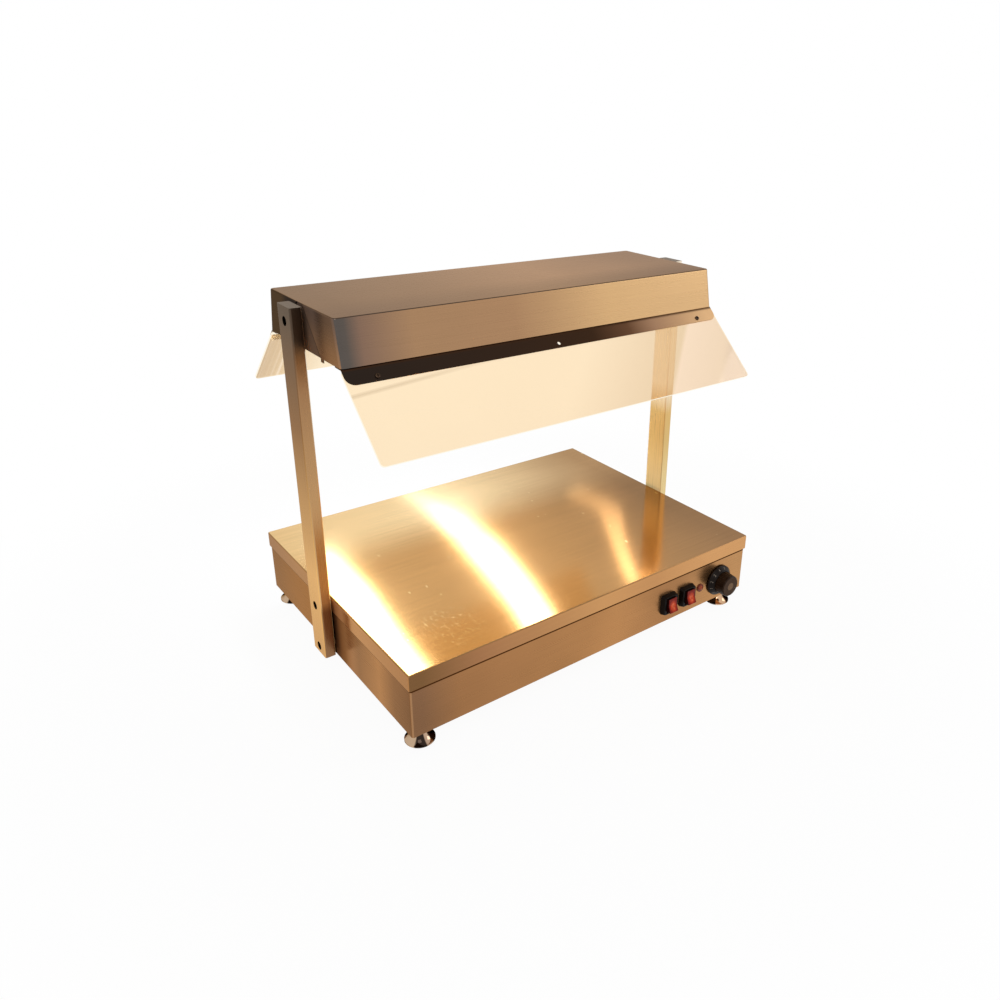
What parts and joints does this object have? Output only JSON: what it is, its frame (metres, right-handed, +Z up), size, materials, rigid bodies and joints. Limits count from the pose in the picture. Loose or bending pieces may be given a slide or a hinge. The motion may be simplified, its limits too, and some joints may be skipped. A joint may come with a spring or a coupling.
{
  "type": "food warmer with gantry",
  "caption": "Food warmer: a heated plate on a low base, with lamps in a hood on side posts above it, sloping clear guards, rocker switches and a thermostat knob.",
  "frame": {"origin": "on the surface it stands on, under the middle of the object's bounding box, which is the middle of the hot plate", "axes": "+X along the hot plate towards the control end, -Y towards the user, where the controls are, +Z up"},
  "size_m": [0.639, 0.5, 0.518],
  "materials": {
    "plate_steel": "brushed along its length",
    "casing_steel": "brushed",
    "hood_steel": "brushed along its length",
    "post_steel": "brushed",
    "bracket_steel": "brushed",
    "fastener_steel": "bright zinc",
    "element_steel": "heat-tinted",
    "bulb_copper": "satin copper",
    "shield_aluminium": "mill",
    "reflector_aluminium": "bright",
    "guard_acrylic": "clear, polished",
    "lamp_glass": "clear quartz",
    "ceramic": "unglazed ceramic",
    "filament_wire": "drawn wire",
    "insulation_board": "fibrous",
    "black_plastic": "moulded, satin",
    "knob_plastic": "moulded, satin",
    "knob_disc": "spun",
    "rocker_red": "translucent, glossy",
    "pilot_amber": "translucent, glossy",
    "foot_chrome": "polished",
    "rubber": "matt"
  },
  "bodies": {
    "base": {"base_casing": "casing_steel", "base_terminal_block": "ceramic", "bottom_panel": "casing_steel", "bottom_screws": "fastener_steel", "bracket_rivets": "fastener_steel", "bulb_clips": "fastener_steel", "element_clamps": "fastener_steel", "foot_inserts": "fastener_steel", "frame_bolts": "fastener_steel", "frame_nuts": "fastener_steel", "gantry_hood": "hood_steel", "gantry_lead": "rubber", "gland_body": "black_plastic", "gland_dome_nut": "black_plastic", "gland_locknut": "black_plastic", "gland_seal": "rubber", "guard_bracket_front": "bracket_steel", "guard_bracket_rear": "bracket_steel", "guard_front": "guard_acrylic", "guard_nuts": "fastener_steel", "guard_rear": "guard_acrylic", "guard_screws": "fastener_steel", "heat_shield": "shield_aluminium", "heating_element": "element_steel", "hood_terminal_block": "ceramic", "hot_plate_lid": "plate_steel", "insulation_mat": "insulation_board", "lamp_end_caps": "ceramic", "lamp_filaments": "filament_wire", "lamp_holders": "ceramic", "lamp_left": "lamp_glass", "lamp_right": "lamp_glass", "lead_grommets": "rubber", "pilot_lamp_body": "pilot_amber", "pilot_lamp_lens": "pilot_amber", "plate_studs": "fastener_steel", "post_end_caps": "post_steel", "post_left": "post_steel", "post_right": "post_steel", "post_spacers": "fastener_steel", "reflector": "reflector_aluminium", "stud_nuts": "fastener_steel", "switch_housing_left": "black_plastic", "switch_housing_right": "black_plastic", "thermostat_body": "black_plastic", "thermostat_bulb": "bulb_copper", "thermostat_screws": "fastener_steel"},
    "knob": {"thermostat_spindle": "fastener_steel", "thermostat_knob": "knob_plastic", "knob_cap": "knob_disc"},
    "rocker_left": {"rocker_left": "rocker_red"},
    "rocker_right": {"rocker_right": "rocker_red"},
    "foot_front_left": {"foot_front_left": "foot_chrome", "foot_pad_front_left": "rubber"},
    "foot_front_right": {"foot_front_right": "foot_chrome", "foot_pad_front_right": "rubber"},
    "foot_rear_left": {"foot_rear_left": "foot_chrome", "foot_pad_rear_left": "rubber"},
    "foot_rear_right": {"foot_rear_right": "foot_chrome", "foot_pad_rear_right": "rubber"}
  },
  "joints": [
    {"name": "thermostat_turn", "type": "hinge", "parent": "base", "child": "knob", "pos_m": [0.242, -0.2232, 0.055], "axis": [0, 1, 0], "range_deg": [0, 270]},
    {"name": "left_switch_rock", "type": "hinge", "parent": "base", "child": "rocker_left", "pos_m": [0.132, -0.2267, 0.0537], "axis": [1, 0, 0], "range_deg": [0, 24]},
    {"name": "right_switch_rock", "type": "hinge", "parent": "base", "child": "rocker_right", "pos_m": [0.1706, -0.2267, 0.0537], "axis": [1, 0, 0], "range_deg": [0, 24]},
    {"name": "front_left_foot_level", "type": "slide", "parent": "base", "child": "foot_front_left", "axis": [0, 0, -1], "range_m": [0, 0.01]},
    {"name": "front_right_foot_level", "type": "slide", "parent": "base", "child": "foot_front_right", "axis": [0, 0, -1], "range_m": [0, 0.01]},
    {"name": "rear_left_foot_level", "type": "slide", "parent": "base", "child": "foot_rear_left", "axis": [0, 0, -1], "range_m": [0, 0.01]},
    {"name": "rear_right_foot_level", "type": "slide", "parent": "base", "child": "foot_rear_right", "axis": [0, 0, -1], "range_m": [0, 0.01]}
  ]
}
